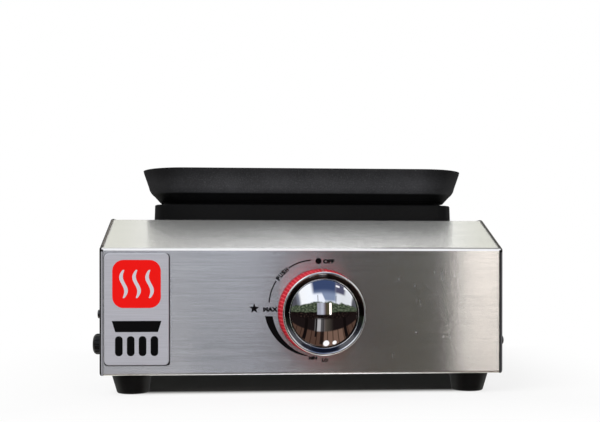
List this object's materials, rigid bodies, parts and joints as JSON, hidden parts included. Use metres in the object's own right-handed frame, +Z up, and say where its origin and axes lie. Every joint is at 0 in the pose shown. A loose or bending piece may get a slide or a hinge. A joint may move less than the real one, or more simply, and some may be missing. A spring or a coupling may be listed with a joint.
{
  "type": "table-top gas hot plate burner",
  "caption": "Table-top gas hot plate: brushed steel box on rubber feet, cast pan on a raised frame, round burner inside and a push-and-turn knob.",
  "frame": {"origin": "middle of the whole footprint, on the table", "axes": "+X to the right as seen from the front, +Y to the back, +Z up; the front panel faces -Y"},
  "size_m": [0.3688, 0.362, 0.2034],
  "materials": {
    "brushed_steel": "fine horizontal brushing",
    "side_steel": "brushed, a shade duller than the front",
    "galvanised_steel": "zinc plated sheet",
    "screw_steel": "bright zinc",
    "foot_rubber": "moulded, satin",
    "badge_metal": "satin aluminium with a bright bevel",
    "black_foam": "foam tape",
    "frame_enamel": "black heat-proof coat, semi-matt",
    "pan_coating": "dark non-stick coat, fine grain",
    "burner_iron": "raw casting",
    "tube_aluminium": "drawn tube",
    "valve_aluminium": "die casting",
    "valve_brass": "machined",
    "spring_steel": "bright wire",
    "inlet_black": "black coat over brass",
    "igniter_plastic": "moulded",
    "lead_rubber": "silicone sleeve",
    "white_ceramic": "glazed ceramic",
    "red_plastic": "ribbed, semi-gloss",
    "white_plastic": "inlay",
    "knob_chrome": "bright chrome",
    "black_plastic": "moulded"
  },
  "bodies": {
    "housing": {"body_shell": "brushed_steel", "side_panel_left": "side_steel", "side_panel_right": "side_steel", "side_screws": "screw_steel", "base_plate": "galvanised_steel", "base_screws": "screw_steel", "foot_front_left": "foot_rubber", "foot_front_right": "foot_rubber", "foot_back_left": "foot_rubber", "foot_back_right": "foot_rubber", "foot_screws": "screw_steel", "foot_nuts": "screw_steel", "badge_plate": "badge_metal", "badge_tape": "black_foam", "pan_frame": "frame_enamel", "frame_screws": "screw_steel", "heat_tray": "galvanised_steel", "burner_body": "burner_iron", "burner_cap": "burner_iron", "burner_cap_screw": "screw_steel", "burner_stand": "galvanised_steel", "burner_screws": "screw_steel", "mixing_tube": "tube_aluminium", "heat_shield": "galvanised_steel", "shield_screws": "screw_steel", "valve_bracket": "galvanised_steel", "bracket_screws": "screw_steel", "valve_screws": "screw_steel", "valve_gland": "galvanised_steel", "valve_body": "valve_aluminium", "jet": "valve_brass", "supply_pipe": "tube_aluminium", "pipe_nuts": "valve_brass", "gas_inlet": "inlet_black", "inlet_locknut": "screw_steel", "spark_igniter": "igniter_plastic", "igniter_screw": "screw_steel", "ignition_lead": "lead_rubber", "electrode_insulator": "white_ceramic", "spark_electrode": "spring_steel", "panel_bush": "black_plastic"},
    "pan": {"pan": "pan_coating"},
    "valve_plug": {"valve_plug": "valve_brass", "stem_spring": "spring_steel"},
    "knob": {"valve_stem": "valve_brass", "knob_ring": "red_plastic", "knob_pointer": "white_plastic", "knob_cap": "knob_chrome", "knob_hub": "black_plastic", "knob_clip": "spring_steel"},
    "air_shutter": {"air_shutter": "galvanised_steel"}
  },
  "joints": [
    {"name": "pan_lift", "type": "slide", "parent": "housing", "child": "pan", "axis": [0, 0, 1], "range_m": [0, 0.15]},
    {"name": "knob_turn", "type": "hinge", "parent": "housing", "child": "valve_plug", "pos_m": [0.0213, -0.135, 0.072], "axis": [0, -1, 0], "range_deg": [0, 180]},
    {"name": "knob_push", "type": "slide", "parent": "valve_plug", "child": "knob", "axis": [0, 1, 0], "range_m": [0, 0.0035], "stiffness_N_per_m": 1200, "springref_m": -0.003, "deforming": ["stem_spring"]},
    {"name": "air_shutter_turn", "type": "hinge", "parent": "housing", "child": "air_shutter", "pos_m": [0.0131, -0.063, 0.086], "axis": [0, 1, 0], "range_deg": [-30, 30]}
  ]
}
